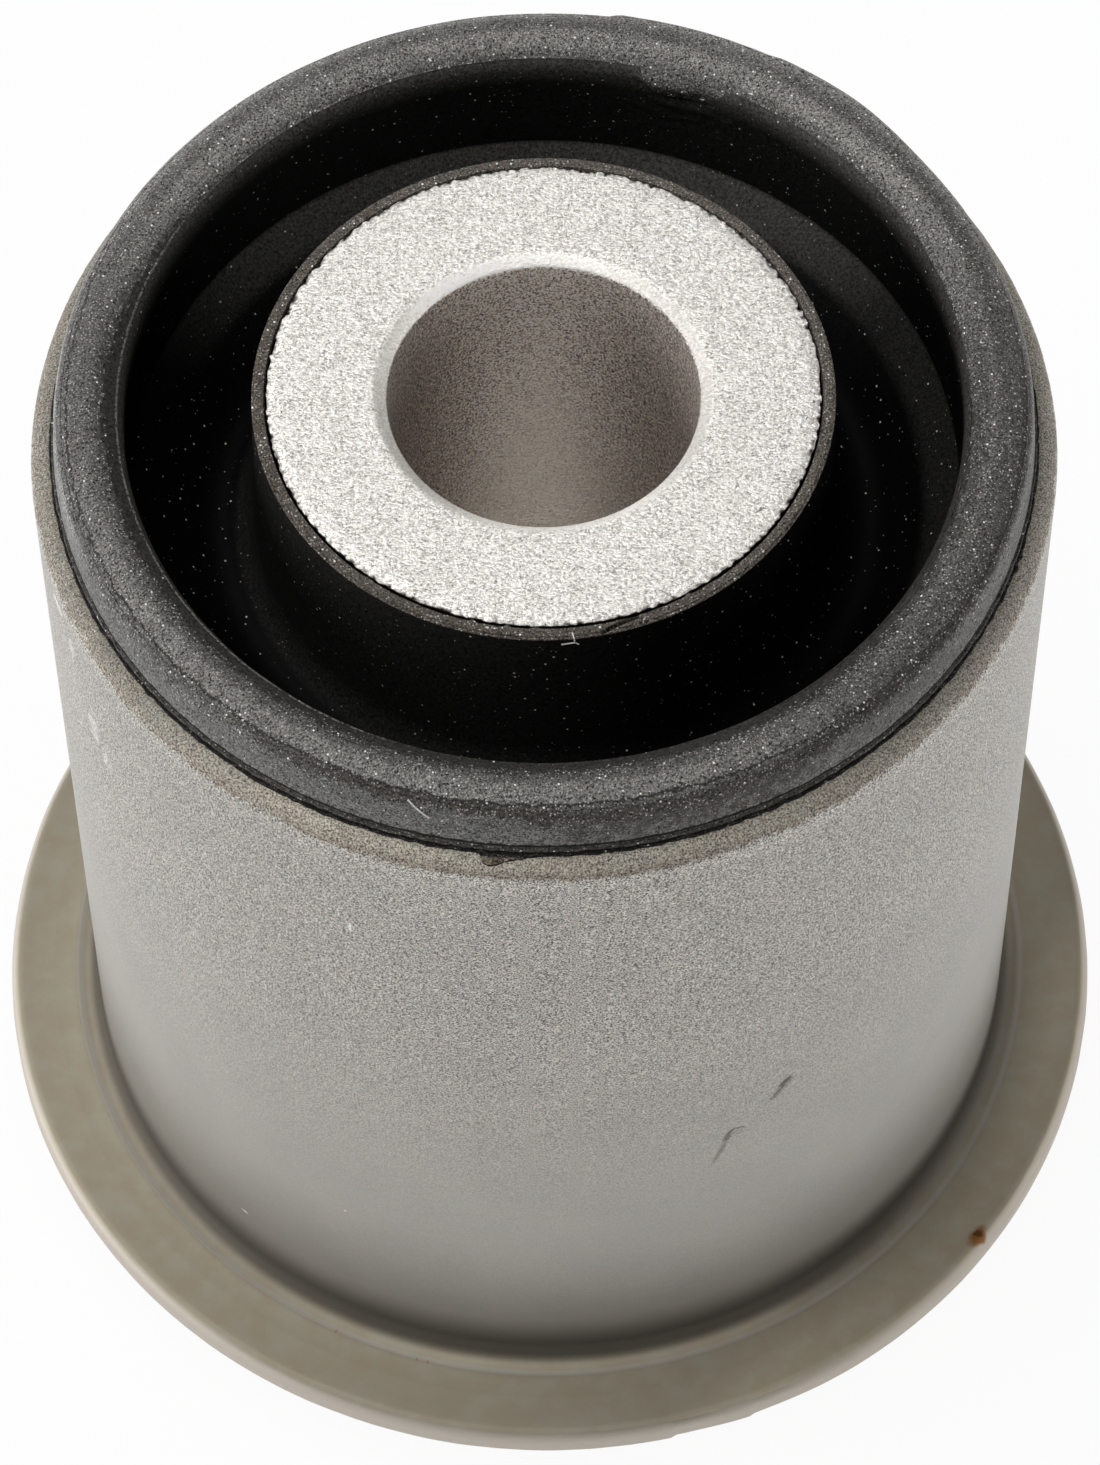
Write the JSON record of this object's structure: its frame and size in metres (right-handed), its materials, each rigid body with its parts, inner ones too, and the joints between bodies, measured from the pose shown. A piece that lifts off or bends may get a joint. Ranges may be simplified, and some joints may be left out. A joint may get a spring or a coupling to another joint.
{
  "type": "rubber metal bush",
  "caption": "Bonded rubber-metal bush: plain thick inner sleeve with a bolt bore, moulded rubber with open end grooves, thin outer press-fit sleeve with a flange.",
  "frame": {"origin": "on the axis, in the end face of the inner sleeve on the flange side, which is the face that the bush stands on", "axes": "+Z along the axis, from the flange to the free end"},
  "size_m": [0.0578, 0.0576, 0.0572],
  "materials": {
    "outer_steel": "matte grey phosphated steel, fine grain, light scuffs",
    "rubber": "moulded black rubber, satin, dusty",
    "inner_aluminium": "as-blasted light grey, fine dimpled grain"
  },
  "bodies": {
    "root": {"outer_sleeve": "outer_steel", "rubber_ring": "rubber", "inner_sleeve": "inner_aluminium"}
  },
  "joints": []
}
